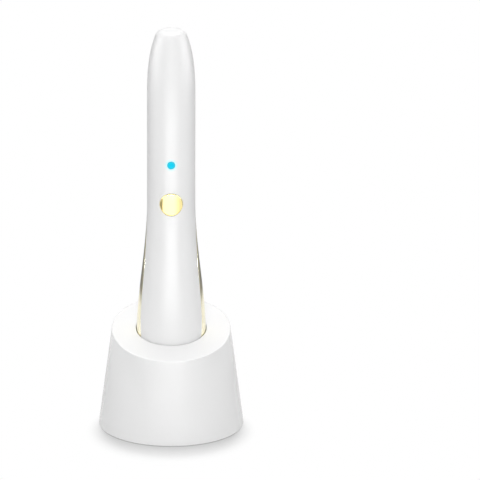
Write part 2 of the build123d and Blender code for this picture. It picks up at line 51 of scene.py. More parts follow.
# Lengths are in millimetres here and become metres where a mesh is made. Z points up, the wand's button
# faces -Y and its plasma window +Y. Heights and radii that the frame holds are read from it.
MM = 0.001

# Points along the wand's and the dock's outlines, and columns and rows of the grids
TAIL_POINTS = 44
FLARE_POINTS = 54
NECK_POINTS = 50
CROWN_POINTS = 34
CROWN_EDGE_POINTS = 13
TIP_POINTS = 8
FINE_POINTS = 3000
CURVE_POINTS = 400
FRONT_COLUMNS = 97
BACK_COLUMNS = 113
TRIM_ROWS = 90
TRIM_COLUMNS = 15
SLOT_POINTS = 96
DISC_POINTS = 72
FACE_RINGS = 12
DOCK_COLUMNS = 192
WALL_ROWS = 27
INLET_HALF_COLUMNS = 10
BOSS_POINTS = 24
PATCH_STEPS = 4
EDGE_STEPS = 3
OPENING_STEPS = 4
SOFT_POINTS = 6
INNER_POINTS = 5
BEZEL_POINTS = 4
ROLL_POINTS = 9
FOOT_POINTS = 5
RIM_POINTS = 9
LIP_POINTS = 7
TOP_POINTS = 10
UNDER_POINTS = 5

# Vertices nearer than this are one, and edges that turn by more than this stay sharp
MERGE_DISTANCE = 1e-4
SHARP_ANGLE = math.radians(38)


def node_box(name):
    """Lowest and highest corner of a node, in millimetres."""
    low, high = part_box(name)
    return Vector(low) / MM, Vector(high) / MM


# Camera, from the photograph
IMAGE_SIZE = 480
PIXELS_PER_MM = 2.128
AXIS_PIXEL_X = 171.2
BASE_PIXEL_Y = 423.9
CAMERA_ELEVATION = math.radians(18.2)
CAMERA_LENS = 600.0
SENSOR_WIDTH = 36.0

# Lamps, in metres and watts: place, aim, width, height, power, and whether they show in reflections and
# light the surfaces
LAMPS = (
    ("top_softbox", (0, 0.3, 2.0), (0, 0, 0.05), 1.8, 1.8, 25.5, True, True),
    ("front_softbox", (0, -0.62, 0.34), (0, 0, 0.12), 0.3, 0.5, 1.42, False, True),
    ("back_softbox", (0, 0.62, 0.34), (0, 0, 0.12), 0.3, 0.5, 0.4, False, True),
    ("front_card", (0, -0.25, 0.056), (0, 0, 0.056), 0.22, 0.012, 0.25, True, False),
    ("left_card", (-0.2, -0.04, 0.205), (0, -0.04, 0.205), 0.18, 0.15, 0.25, True, False),
    ("right_card", (0.2, -0.04, 0.205), (0, -0.04, 0.205), 0.18, 0.15, 0.25, True, False),
)

# World: level of its light, what reflections see at the sides and in front, and the direction's share
# along X, Y or Z over which each comes in
FILL_LEVEL = 0.42
LEFT_GREY = 0.42
RIGHT_GREY = 0.5
FRONT_WHITE = 1.1
WORLD_SIDES = (-0.3, 0.3)
WORLD_ABOVE = (0.0, 0.3)
WORLD_AHEAD = (-0.2, -0.8)

# Floor as the camera sees it, in metres
FLOOR_HALF = 3.0
FLOOR_ALBEDO = 0.8
SEEN_ALBEDO = 0.57
FLOOR_GLOW = 0.4
SHADOW_REACH = 0.026
SHADOW_POWER = 2.0
SHADOW_SAMPLES = 16
SHADOW_CENTRE_Y = -0.013
SHADOW_STRETCH = 1.15
SHADOW_FADE = (0.032, 0.047)

# Floor as polished parts see it: greys, whites, and the places over which each comes in, in metres
STRIP_WHITE = 1.3
PANEL_WHITE = 1.85
PANEL_END_WHITE = 1.0
TRIM_GREY = 0.2
SHADED_TABLE = 0.75
FLOOR_SIDES = (-0.1, 0.1)
DARK_START = (0.32, 0.36)
SHADE_END = (0.12, 0.2)
TABLE_END = (0.195, 0.215)
TABLE_SPREAD = 0.33
RING_INNER = (0.27, 0.31)
RING_OUTER = (0.38, 0.42)
PANEL_LEFT = (-0.235, -0.195)
PANEL_RIGHT = (0.06, 0.26)
AHEAD_START = (-0.1, -0.25)
STRIP_START = (-0.06, -0.14)
STRIP_SIDE = (0.06, 0.16)

# Wand, outer form
shell_low, shell_high = node_box("back_shell")
WAND_TOP = shell_high.z
TAIL_TIP = shell_low.z
BULGE_RADIUS = shell_high.x
DEPTH_RATIO = 0.92
TAIL_LENGTH = 39.0
FLARE_LENGTH = 62.0
FLARE_LOWER_HANDLE = 16.0
FLARE_UPPER_HANDLE = 22.0
HEAD_RADIUS = 11.3
CROWN_LENGTH = 31.7
CROWN_LOWER_HANDLE = 17.6
CROWN_UPPER_HANDLE = 7.9
CROWN_LEAN = 2.9
CROWN_RADIUS = 6.5
CROWN_EDGE = 4.2
SHELL_WALL = 1.5
BULGE_Z = TAIL_TIP + TAIL_LENGTH
NECK_Z = BULGE_Z + FLARE_LENGTH
SHOULDER_Z = WAND_TOP - CROWN_LENGTH

# Side trims: height and distance in front of the middle plane of their front edge
TRIM_EDGE = ((13.0, 0.0), (24.0, 6.3), (42.0, 7.5), (61.0, 6.0), (91.0, 3.0), (105.0, 0.0))
TRIM_BEAD = 0.15
TRIM_WALL = 1.0
BEAD_SLOPE = 0.03
TRIM_TIP_WIDTH = 0.06
SEAM_EDGE = 0.09
SEAM_GAP = 0.02
SEAM_INSET = SEAM_EDGE + SEAM_GAP
TIP_OPENING = SEAM_INSET / 10

# Grid left round the holes in the shells, where it turns into rings
PATCH_MARGIN = 1.2
LENS_PATCH_MARGIN = 0.8
WINDOW_PATCH_INSET = 0.2

# Plasma window
WINDOW_Z = 159.4
WINDOW_TILT = math.radians(1.4)
WINDOW_STAND = 0.35
BEZEL_LENGTH = 51.4
BEZEL_WIDTH = 10.3
FRAME_RIM = 0.9
FRAME_ROUND = 0.3
FRAME_DEPTH = 4.8
BEZEL_SINK = 0.3
BEZEL_THICKNESS = 1.2
BEZEL_EDGE = 0.12
PLATE_LENGTH = 41.7
PLATE_WIDTH = 7.4
PLATE_SINK = 0.35
PLATE_EDGE = 0.25
LEDGE_DEPTH = 1.9
LEDGE_SIDE = 0.75
window_y = HEAD_RADIUS * DEPTH_RATIO + WINDOW_STAND - BEZEL_LENGTH / 2 * math.tan(WINDOW_TILT)

# Button and status light
button_low, button_high = node_box("button_cap")
BUTTON_Z = (button_low.z + button_high.z) / 2
BUTTON_RADIUS = 5.4
BUTTON_PROUD = 0.3
BUTTON_ROLL = 0.35
BUTTON_GAP = 0.15
FACE_MARGIN = 0.04
BUTTON_FLANGE_RADIUS = button_high.x
BUTTON_FLANGE_THICKNESS = 0.8
BUTTON_BACK_Y = button_high.y
lens_low, lens_high = node_box("light_lens")
LENS_Z = (lens_low.z + lens_high.z) / 2
LENS_RADIUS = 1.9
LENS_DOME = 0.08
LENS_BACK_Y = lens_high.y
LENS_FLANGE_RADIUS = lens_high.x
LENS_FLANGE_THICKNESS = 0.6

# Colours and the light's glow in the shell
LIGHT_CYAN = (0.0, 0.6, 0.84)
LIGHT_RIM = (0.04, 0.55, 0.72)
HALO_TINT = (0.66, 0.94, 0.94)
HALO_LEVEL = 0.07
HALO_REACH = (2.0 * MM, 3.3 * MM)
LIGHT_FADE = (0.8 * MM, LENS_RADIUS * MM)
NOISE_MIDDLE = (0.3, 0.7)
NOISE_WIDE = (0.2, 0.8)
LIGHT_DRIFT = (0.97, 1.03)
LIGHT_PATCHES = 900
LIGHT_BASE = (0.0, 0.05, 0.07)
LIGHT_ROUGHNESS = 0.25
LIGHT_SPECULAR = 0.03
CELL_BAND = 1.5

# Dock
DOCK_BASE_RADIUS = 34.3
DOCK_HEIGHT = 47.75
DOCK_SLOPE = math.tan(math.radians(7.5))
TOP_SLOPE = math.tan(math.radians(14.25))
DOCK_WALL = 2.2
DOCK_TOP_WALL = 2.4
DOCK_BOTTOM = node_box("dock_shell")[0].z
RIM_EDGE = 0.5
MOUTH_EDGE = 0.4
BASE_EDGE = 0.3
WALL_INSET = DOCK_WALL * math.sqrt(1 + DOCK_SLOPE**2)
WALL_START = DOCK_BOTTOM + 1.6 * BASE_EDGE
WELL_CLEARANCE = 0.3
INLET_Z = 7.4
INLET_MARGIN = 1.5
INLET_SHARES = (0.35, 0.7, 1.0)
RECESS_WIDTH = 13.0
RECESS_HEIGHT = 7.0
RECESS_DEPTH = 5.0
RECESS_WALL = 1.2
RECESS_EDGE = 0.35
SOCKET_WIDTH = 9.1
SOCKET_HEIGHT = 3.42
BOSS_RADIUS = 2.6
BOSS_INSET = 3.6
BOSS_HEIGHT = 11.0
BOSS_COUNT = 4
BASE_THICKNESS = 2.0
SCREW_RADIUS = 1.2


# Stage


def add_object(name, data):
    made = bpy.data.objects.new(name, data)
    scene.collection.objects.link(made)
    return made


def add_camera():
    """Long lens straight in front of the button, looking down on the dock."""
    view_width = IMAGE_SIZE / PIXELS_PER_MM * MM
    distance = view_width * CAMERA_LENS / SENSOR_WIDTH
    aim_height = (BASE_PIXEL_Y - IMAGE_SIZE / 2) / PIXELS_PER_MM / math.cos(CAMERA_ELEVATION) * MM
    data = bpy.data.cameras.new("camera")
    data.lens = CAMERA_LENS
    data.sensor_width = SENSOR_WIDTH
    data.shift_x = 0.5 - AXIS_PIXEL_X / IMAGE_SIZE
    data.clip_end = 4 * distance
    camera = add_object("camera", data)
    camera.location = (0, -distance * math.cos(CAMERA_ELEVATION),
                       aim_height + distance * math.sin(CAMERA_ELEVATION))
    camera.rotation_euler = (math.pi / 2 - CAMERA_ELEVATION, 0, 0)
    scene.camera = camera


def add_lights():
    """Softboxes, of which reflections only show the top one, and cards that show nowhere else."""
    for name, place, target, width, height, power, mirrored, lighting in LAMPS:
        data = bpy.data.lights.new(name, "AREA")
        data.shape = "RECTANGLE"
        data.size, data.size_y, data.energy = width, height, power
        lamp = add_object(name, data)
        lamp.location = place
        lamp.rotation_euler = (Vector(target) - Vector(place)).to_track_quat("-Z", "Y").to_euler()
        lamp.visible_camera = False
        lamp.visible_glossy = mirrored
        lamp.visible_diffuse = lighting


def plug(node, *pairs):
    """Sets named or numbered sockets of a node to a value, or links them to another node's socket."""
    for name, value in pairs:
        if isinstance(value, bpy.types.NodeSocket):
            node.id_data.links.new(value, node.inputs[name])
        else:
            node.inputs[name].default_value = value
    return node


def maths(tree, operation, first, second=0.0):
    """Result of a sum on sockets or numbers."""
    made = plug(tree.nodes.new("ShaderNodeMath"), (0, first), (1, second))
    made.operation = operation
    return made.outputs[0]


def ramp(tree, value, limits, out_low=0.0, out_high=1.0):
    """Smooth step of a socket's value between two limits."""
    made = tree.nodes.new("ShaderNodeMapRange")
    made.interpolation_type = "SMOOTHSTEP"
    plug(made, ("Value", value), ("From Min", limits[0]), ("From Max", limits[1]), ("To Min", out_low),
         ("To Max", out_high))
    return made.outputs["Result"]


def split_vector(tree, socket):
    return plug(tree.nodes.new("ShaderNodeSeparateXYZ"), (0, socket)).outputs


def largest(tree, first, *others):
    for other in others:
        first = maths(tree, "MAXIMUM", first, other)
    return first


def mirror_rays(tree, path):
    """1 for rays seen in a reflection or through a clear part."""
    return largest(tree, path.outputs["Is Glossy Ray"], path.outputs["Is Transmission Ray"])


def product(tree, first, *others):
    for other in others:
        first = maths(tree, "MULTIPLY", first, other)
    return first


def rest_of(tree, value):
    """What a value leaves of 1."""
    return maths(tree, "SUBTRACT", 1.0, value)


def length_of(tree, first, second):
    """Length of a flat vector from its two parts."""
    squares = [product(tree, part, part) for part in (first, second)]
    return maths(tree, "POWER", maths(tree, "ADD", *squares), 0.5)


def blend(tree, share, first, second):
    """Mixture of two numbers or sockets, by the share of the second."""
    kept = product(tree, rest_of(tree, share), first)
    return maths(tree, "ADD", kept, product(tree, share, second))


def add_world():
    """White to the camera. Reflections see white in front and above, and grey at the sides and behind."""
    world = bpy.data.worlds.new("studio")
    scene.world = world
    world.use_nodes = True
    tree = world.node_tree
    tree.nodes.clear()
    path = tree.nodes.new("ShaderNodeLightPath")
    direction = split_vector(tree, tree.nodes.new("ShaderNodeTexCoord").outputs["Generated"])
    sides = ramp(tree, direction["X"], WORLD_SIDES, LEFT_GREY, RIGHT_GREY)
    above = ramp(tree, direction["Z"], WORLD_ABOVE)
    ahead = ramp(tree, direction["Y"], WORLD_AHEAD, 0.0, FRONT_WHITE)
    mirrored = product(tree, mirror_rays(tree, path), largest(tree, sides, above, ahead))
    not_lighting = largest(tree, path.outputs["Is Camera Ray"], mirror_rays(tree, path))
    lighting = product(tree, rest_of(tree, not_lighting), FILL_LEVEL)
    shown = largest(tree, path.outputs["Is Camera Ray"], mirrored)
    background = plug(tree.nodes.new("ShaderNodeBackground"), ("Color", (1, 1, 1, 1)),
                      ("Strength", maths(tree, "ADD", shown, lighting)))
    plug(tree.nodes.new("ShaderNodeOutputWorld"), (0, background.outputs[0]))


def mix_shaders(tree, share, first, second):
    return plug(tree.nodes.new("ShaderNodeMixShader"), (0, share), (1, first), (2, second)).outputs[0]


def emission(tree, strength=1.0):
    return plug(tree.nodes.new("ShaderNodeEmission"), ("Strength", strength)).outputs[0]


def seen_table(tree, place, seen):
    """Table that the camera sees, with the object's soft shadow, plain white further off."""
    contact = tree.nodes.new("ShaderNodeAmbientOcclusion")
    contact.samples = SHADOW_SAMPLES
    plug(contact, ("Distance", SHADOW_REACH))
    open_share = maths(tree, "POWER", contact.outputs["AO"], SHADOW_POWER)
    shaded = product(tree, open_share, product(tree, seen, SEEN_ALBEDO))
    plain = product(tree, rest_of(tree, seen), FLOOR_ALBEDO)
    diffuse = plug(tree.nodes.new("ShaderNodeBsdfDiffuse"), ("Color", maths(tree, "ADD", shaded, plain)))
    lit = plug(tree.nodes.new("ShaderNodeAddShader"), (0, diffuse.outputs[0]),
               (1, emission(tree, product(tree, seen, FLOOR_GLOW))))
    from_shadow = length_of(tree, product(tree, place["X"], SHADOW_STRETCH),
                            maths(tree, "SUBTRACT", place["Y"], SHADOW_CENTRE_Y))
    far = product(tree, seen, ramp(tree, from_shadow, SHADOW_FADE))
    return mix_shaders(tree, far, lit.outputs[0], emission(tree))


def mirrored_table(tree, place):
    """Table that polished parts see: light in front, grey at the sides, darker further off."""
    distance = length_of(tree, place["X"], place["Y"])
    sides = ramp(tree, place["X"], FLOOR_SIDES, LEFT_GREY, RIGHT_GREY)
    sides = blend(tree, ramp(tree, distance, DARK_START), TRIM_GREY, sides)
    across = maths(tree, "ABSOLUTE", place["X"])
    narrowed = maths(tree, "SUBTRACT", distance, product(tree, across, TABLE_SPREAD))
    middle = product(tree, ramp(tree, distance, SHADE_END, SHADED_TABLE, 1.0),
                     ramp(tree, narrowed, TABLE_END, 1.0, 0.0))
    ring = product(tree, ramp(tree, distance, RING_INNER), ramp(tree, distance, RING_OUTER, 1.0, 0.0))
    beside = product(tree, ring, ramp(tree, place["X"], PANEL_LEFT, 1.0, 0.0))
    ahead = product(tree, ramp(tree, place["Y"], AHEAD_START, 0.0, FRONT_WHITE),
                    rest_of(tree, beside))
    strip = product(tree, ramp(tree, place["Y"], STRIP_START),
                    ramp(tree, across, STRIP_SIDE, STRIP_WHITE, 0.0))
    panel = product(tree, ring, ramp(tree, place["X"], PANEL_LEFT),
                    ramp(tree, place["X"], PANEL_RIGHT, PANEL_WHITE, PANEL_END_WHITE),
                    ramp(tree, place["Y"], STRIP_START))
    return emission(tree, largest(tree, sides, middle, ahead, strip, panel))


def add_floor():
    """White table under the object."""
    mesh = bpy.data.meshes.new("floor")
    corners = [(x * FLOOR_HALF, y * FLOOR_HALF, 0) for x, y in ((-1, -1), (1, -1), (1, 1), (-1, 1))]
    mesh.from_pydata(corners, [], [(0, 1, 2, 3)])
    floor = add_object("floor", mesh)
    material = bpy.data.materials.new("floor_white")
    material.use_nodes = True
    tree = material.node_tree
    tree.nodes.clear()
    path = tree.nodes.new("ShaderNodeLightPath")
    place = split_vector(tree, tree.nodes.new("ShaderNodeNewGeometry").outputs["Position"])
    table = seen_table(tree, place, path.outputs["Is Camera Ray"])
    shown = mix_shaders(tree, mirror_rays(tree, path), table, mirrored_table(tree, place))
    plug(tree.nodes.new("ShaderNodeOutputMaterial"), (0, shown))
    mesh.materials.append(material)


# Curves


def bezier(corners, count):
    """Points along a cubic curve, both ends among them."""
    share = np.linspace(0, 1, count)[:, None]
    start, leaving, arriving, end = np.array(corners, float)
    rest = 1 - share
    return start * rest**3 + 3 * leaving * share * rest**2 + 3 * arriving * share**2 * rest + end * share**3


def unit(vectors):
    """Vectors of length 1 in the same directions."""
    return vectors / np.linalg.norm(vectors, axis=-1, keepdims=True)


def crown_outline(tip_radius):
    """Radius and height from the shoulder over the round edge to the middle of the flat top."""
    crown = bezier(
        [(HEAD_RADIUS, SHOULDER_Z), (HEAD_RADIUS, SHOULDER_Z + CROWN_LOWER_HANDLE),
         (CROWN_RADIUS + CROWN_LEAN, WAND_TOP - CROWN_UPPER_HANDLE), (CROWN_RADIUS, WAND_TOP)],
        FINE_POINTS)
    along = unit(np.gradient(crown, axis=0))
    inward = np.column_stack([-along[:, 1], along[:, 0]])
    centres = crown + CROWN_EDGE * inward
    last = int(np.argmax(centres[:, 1] >= WAND_TOP - CROWN_EDGE))
    crown = crown[np.linspace(0, last, CROWN_POINTS).astype(int)]
    start = math.atan2(-inward[last, 1], -inward[last, 0])
    turn = np.linspace(start, math.pi / 2, CROWN_EDGE_POINTS)
    edge = centres[last] + CROWN_EDGE * np.column_stack([np.cos(turn), np.sin(turn)])
    radii = np.linspace(edge[-1, 0], tip_radius, TIP_POINTS)
    flat = np.column_stack([radii, np.full(len(radii), WAND_TOP)])
    return np.vstack([crown[1:], edge[1:], flat[1:]])


def wand_outline(tip_radius):
    """Radius and height from the tail's tip to the middle of the flat top."""
    turn = np.linspace(math.asin(tip_radius / BULGE_RADIUS), math.pi / 2, TAIL_POINTS)
    tail = np.column_stack([BULGE_RADIUS * np.sin(turn), BULGE_Z - TAIL_LENGTH * np.cos(turn)])
    flare = bezier(
        [(BULGE_RADIUS, BULGE_Z), (BULGE_RADIUS, BULGE_Z + FLARE_LOWER_HANDLE),
         (HEAD_RADIUS, NECK_Z - FLARE_UPPER_HANDLE), (HEAD_RADIUS, NECK_Z)], FLARE_POINTS)
    heights = np.linspace(NECK_Z, SHOULDER_Z, NECK_POINTS)
    neck = np.column_stack([np.full(len(heights), HEAD_RADIUS), heights])
    return np.vstack([tail, flare[1:], neck[1:], crown_outline(tip_radius)])


DENSE_OUTLINE = wand_outline(TIP_OPENING)


def wand_radius(z):
    return np.interp(z, DENSE_OUTLINE[:, 1], DENSE_OUTLINE[:, 0])


def smooth_curve(points, count):
    """Natural cubic curve through points, by the length of the runs between them."""
    points = np.array(points, float)
    knots = np.concatenate([[0], np.cumsum(np.linalg.norm(np.diff(points, axis=0), axis=1))])
    spans = np.diff(knots)
    size = len(points)
    system = np.eye(size)
    target = np.zeros_like(points)
    slopes = np.diff(points, axis=0) / spans[:, None]
    for i in range(1, size - 1):
        system[i, i - 1:i + 2] = spans[i - 1], 2 * (spans[i - 1] + spans[i]), spans[i]
        target[i] = 6 * (slopes[i] - slopes[i - 1])
    bend = np.linalg.solve(system, target)
    curve = []
    for place in np.linspace(0, knots[-1], count):
        i = min(np.searchsorted(knots, place, side="right") - 1, size - 2)
        after = place - knots[i]
        first = slopes[i] - spans[i] * (2 * bend[i] + bend[i + 1]) / 6
        curve.append(points[i] + first * after + bend[i] * after**2 / 2
                     + (bend[i + 1] - bend[i]) * after**3 / (6 * spans[i]))
    return np.array(curve)


TRIM_CURVE = smooth_curve(TRIM_EDGE, CURVE_POINTS)


def trim_width(z):
    """Distance of the trims' front edge in front of the middle plane."""
    return np.interp(z, TRIM_CURVE[:, 0], TRIM_CURVE[:, 1], left=0, right=0)


def stadium(length, width):
    """Points of a slot with round ends, length along the second axis, symmetric about that axis."""
    radius = width / 2
    core = length / 2 - radius
    cap = np.linspace(0, math.pi, SLOT_POINTS // 4 + 1)
    side = np.linspace(core, -core, SLOT_POINTS // 4 + 1)[1:-1]
    upper = np.column_stack([radius * np.cos(cap), core + radius * np.sin(cap)])
    left = np.column_stack([np.full(len(side), -radius), side])
    lower = -upper
    return np.vstack([upper, left, lower, -left])


def nearest_on_stadium(points, length, width):
    """Nearest points of a slot's edge to points outside it."""
    radius = width / 2
    core = length / 2 - radius
    middle = np.column_stack([np.zeros(len(points)), np.clip(points[:, 1], -core, core)])
    return middle + radius * unit(points - middle)


def fillet_points(before, corner, after, radius, count):
    """Arc that rounds a corner between two neighbouring points."""
    first, second = unit(before - corner), unit(after - corner)
    half = math.acos(np.clip(first @ second, -1, 1)) / 2
    centre = corner + unit(first + second) * radius / math.sin(half)
    start = corner + first * radius / math.tan(half) - centre
    end = corner + second * radius / math.tan(half) - centre
    whole = math.pi - 2 * half
    return [
        centre + (start * math.sin(whole * (1 - share)) + end * math.sin(whole * share)) / math.sin(whole)
        for share in np.linspace(0, 1, count)
    ]


# Meshes


def row_of(bm, points):
    return [bm.verts.new(point) for point in points]


def bridge(bm, first, second, closed=True):
    """Quads between two rows of vertices, facing out when the second row lies above the first."""
    count = len(first)
    for i in range(count if closed else count - 1):
        j = (i + 1) % count
        bm.faces.new((first[i], first[j], second[j], second[i]))


def grid_faces(bm, rows, closed, holes=()):
    """Quads of a grid of vertices, without those inside the holes, each (row, row, column, column)."""
    columns = len(rows[0])
    for i in range(len(rows) - 1):
        for j in range(columns if closed else columns - 1):
            if any(a <= i < b and c <= j < d for a, b, c, d in holes):
                continue
            k = (j + 1) % columns
            bm.faces.new((rows[i][j], rows[i][k], rows[i + 1][k], rows[i + 1][j]))


def hole_border(rows, hole):
    """Vertices round a hole of the grid, counter-clockwise seen from outside."""
    a, b, c, d = hole
    return ([rows[a][j] for j in range(c, d)] + [rows[i][d] for i in range(a, b)]
            + [rows[b][j] for j in range(d, c, -1)] + [rows[i][c] for i in range(b, a, -1)])


def sheet_border(bm):
    """Border edges of a sheet as (start, end), and the way out of the sheet at each of their vertices."""
    border = []
    outward = {}
    for side in bm.edges:
        if side.is_boundary:
            start = side.link_loops[0].vert
            end = side.other_vert(start)
            border.append((start, end))
            along = (end.co - start.co).normalized()
            for vertex in (start, end):
                outward[vertex] = outward.get(vertex, Vector()) + along.cross(vertex.normal)
    return border, {vertex: out.normalized() for vertex, out in outward.items()}


def flat_points(vertices, middle_z):
    """Vertices seen along Y: their X, and their Z from a height."""
    return np.array([(vertex.co.x, vertex.co.z - middle_z) for vertex in vertices])


def thicken(bm, thickness, edge):
    """Turns an open sheet into a closed wall, with its borders rounded over the outer face."""
    bmesh.ops.remove_doubles(bm, verts=bm.verts[:], dist=MERGE_DISTANCE)
    bm.normal_update()
    faces = bm.faces[:]
    border, outward = sheet_border(bm)
    inner = {}
    levels = {}
    for vertex, out in outward.items():
        normal = vertex.normal.copy()
        levels[vertex] = [vertex]
        for turn in np.linspace(0, math.pi / 2, EDGE_STEPS + 1)[1:]:
            place = vertex.co + edge * (math.sin(turn) * out - (1 - math.cos(turn)) * normal)
            levels[vertex].append(bm.verts.new(place))
        inner[vertex] = bm.verts.new(vertex.co + edge * out - thickness * normal)
        levels[vertex].append(inner[vertex])
    for vertex in {vertex for face in faces for vertex in face.verts} - set(inner):
        inner[vertex] = bm.verts.new(vertex.co - thickness * vertex.normal)
    for start, end in border:
        for a, b in zip(range(EDGE_STEPS + 1), range(1, EDGE_STEPS + 2)):
            bm.faces.new((levels[end][a], levels[start][a], levels[start][b], levels[end][b]))
    for face in faces:
        bm.faces.new([inner[vertex] for vertex in reversed(face.verts)])


def bridge_all(bm, rings):
    """Quads between each two neighbouring rings."""
    for first, second in zip(rings, rings[1:]):
        bridge(bm, first, second)


def add_piece(name, bm, body, slot, *nodes):
    """Makes the piece that stands for CAD nodes and rides on a body."""
    bmesh.ops.remove_doubles(bm, verts=bm.verts[:], dist=MERGE_DISTANCE)
    bmesh.ops.recalc_face_normals(bm, faces=bm.faces[:])
    for face in bm.faces:
        face.smooth = True
    for side in bm.edges:
        side.smooth = not (side.is_manifold and side.calc_face_angle() > SHARP_ANGLE)
    bmesh.ops.scale(bm, vec=(MM, MM, MM), verts=bm.verts[:])
    mesh = bpy.data.meshes.new(name)
    bm.to_mesh(mesh)
    bm.free()
    mesh.materials.append(finishes[slot])
    piece = add_object(name, mesh)
    normals = piece.modifiers.new("even_normals", "WEIGHTED_NORMAL")
    normals.keep_sharp = True
    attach(piece, body)
    if nodes:
        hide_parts(*nodes)
    return piece


# Wand shells and trims


def on_wand(radius, z, angle, lift=0.0):
    """Point of the wand's form at an angle about its axis, 0 in front, pi/2 at +X."""
    return (radius + lift) * math.sin(angle), -(radius + lift) * DEPTH_RATIO * math.cos(angle), z


def wand_rows(bm, outline, low_angles, high_angles, columns, bead=0.0):
    """Grid of vertices on the wand's form between two angles given for each row."""
    rows = []
    for (radius, z), low, high in zip(outline, low_angles, high_angles):
        span = radius * (high - low)
        lift = bead * (1 - math.exp(-span * BEAD_SLOPE / bead)) if bead else 0.0
        shares = np.linspace(0, 1, columns)
        points = [
            on_wand(radius, z, low + (high - low) * share, lift * math.sin(math.pi * share))
            for share in shares
        ]
        rows.append(row_of(bm, points))
    return rows


def border_angles(outline, distances):
    """Angle of the point that lies a distance in front of the middle plane, on each row."""
    share = np.clip(distances / (outline[:, 0] * DEPTH_RATIO), -1, 1)
    return np.arccos(share)


def hole_in_rows(rows, z_low, z_high, half_width, centre_column):
    """Block of the grid that holds a hole: first and last row and column."""
    heights = [row[centre_column].co.z for row in rows]
    first = max(i for i, z in enumerate(heights) if z < z_low)
    last = min(i for i, z in enumerate(heights) if z > z_high)
    reach = min(
        j for j in range(1, centre_column)
        if all(abs(rows[i][centre_column + j].co.x) > half_width for i in (first, last))
    )
    return first, last, centre_column - reach, centre_column + reach


def wand_surface_y(side, x, z):
    """Y of the wand's form in front (-1) or behind (+1) the axis."""
    return side * DEPTH_RATIO * np.sqrt(np.maximum(wand_radius(z) ** 2 - x**2, 0))


def ring_to_outline(bm, border, outline_points, surface):
    """Rows of vertices from a hole's border in the grid to its outline, along a surface."""
    start = flat_points(border, 0)
    rows = [border]
    for share in np.linspace(0, 1, PATCH_STEPS + 1)[1:]:
        flat = start * (1 - share) + outline_points * share
        heights = surface(flat[:, 0], flat[:, 1])
        rows.append(row_of(bm, np.column_stack([flat[:, 0], heights, flat[:, 1]])))
    bridge_all(bm, rows)


def round_hole(bm, rows, hole, centre_z, radius, side):
    """Patch round a round hole in the grid, on the wand's form."""
    border = hole_border(rows, hole)
    outline = nearest_on_stadium(flat_points(border, centre_z), 2 * radius, 2 * radius) + (0, centre_z)
    ring_to_outline(bm, border, outline, lambda x, z: wand_surface_y(side, x, z))


def window_place(across, along, depth):
    """Point of the window's own frame: across and along its plane, and depth under it."""
    sine, cosine = math.sin(WINDOW_TILT), math.cos(WINDOW_TILT)
    return np.column_stack([across, window_y - depth * cosine - along * sine,
                            WINDOW_Z + along * cosine - depth * sine])


def window_hole(bm, rows, hole, length, width):
    """Patch round the window's opening in the back shell."""
    border = hole_border(rows, hole)
    outline = nearest_on_stadium(flat_points(border, WINDOW_Z), length, width)
    # The opening is cut square to the tilted window, so its heights depend on the form's depth there.
    along = outline[:, 1].copy()
    for _ in range(OPENING_STEPS):
        depth = wand_surface_y(1, outline[:, 0], outline[:, 1] + WINDOW_Z) - window_y
        outline[:, 1] = along / math.cos(WINDOW_TILT) + depth * math.tan(WINDOW_TILT)
    outline[:, 1] += WINDOW_Z
    ring_to_outline(bm, border, outline, lambda x, z: wand_surface_y(1, x, z))


def add_front_shell():
    outline = wand_outline(SEAM_INSET / DEPTH_RATIO)
    bm = bmesh.new()
    high = border_angles(outline, trim_width(outline[:, 1]) + SEAM_INSET)
    rows = wand_rows(bm, outline, -high, high, FRONT_COLUMNS)
    button_radius = BUTTON_RADIUS + BUTTON_GAP + SEAM_EDGE
    lens_radius = LENS_RADIUS + SEAM_GAP + SEAM_EDGE
    middle = FRONT_COLUMNS // 2
    button_patch, lens_patch = button_radius + PATCH_MARGIN, lens_radius + LENS_PATCH_MARGIN
    button_hole = hole_in_rows(rows, BUTTON_Z - button_patch, BUTTON_Z + button_patch, button_patch, middle)
    lens_hole = hole_in_rows(rows, LENS_Z - lens_patch, LENS_Z + lens_patch, lens_patch, middle)
    grid_faces(bm, rows, False, (button_hole, lens_hole))
    round_hole(bm, rows, button_hole, BUTTON_Z, button_radius, -1)
    round_hole(bm, rows, lens_hole, LENS_Z, lens_radius, -1)
    thicken(bm, SHELL_WALL, SEAM_EDGE)
    add_piece("wand_front", bm, "wand", "wand_white", "front_shell")


def add_back_shell():
    outline = wand_outline(SEAM_INSET / DEPTH_RATIO)
    bm = bmesh.new()
    half = border_angles(outline, np.full(len(outline), SEAM_INSET))
    rows = wand_rows(bm, outline, math.pi - half, math.pi + half, BACK_COLUMNS)
    opening = 2 * (FRAME_RIM + SEAM_GAP + SEAM_EDGE)
    length = BEZEL_LENGTH + opening
    width = BEZEL_WIDTH + opening
    patch = length / 2 + PATCH_MARGIN
    hole = hole_in_rows(rows, WINDOW_Z - patch, WINDOW_Z + patch, width / 2 - WINDOW_PATCH_INSET,
                        BACK_COLUMNS // 2)
    grid_faces(bm, rows, False, (hole,))
    window_hole(bm, rows, hole, length, width)
    thicken(bm, SHELL_WALL, SEAM_EDGE)
    add_piece("wand_back", bm, "wand", "wand_white", "back_shell")


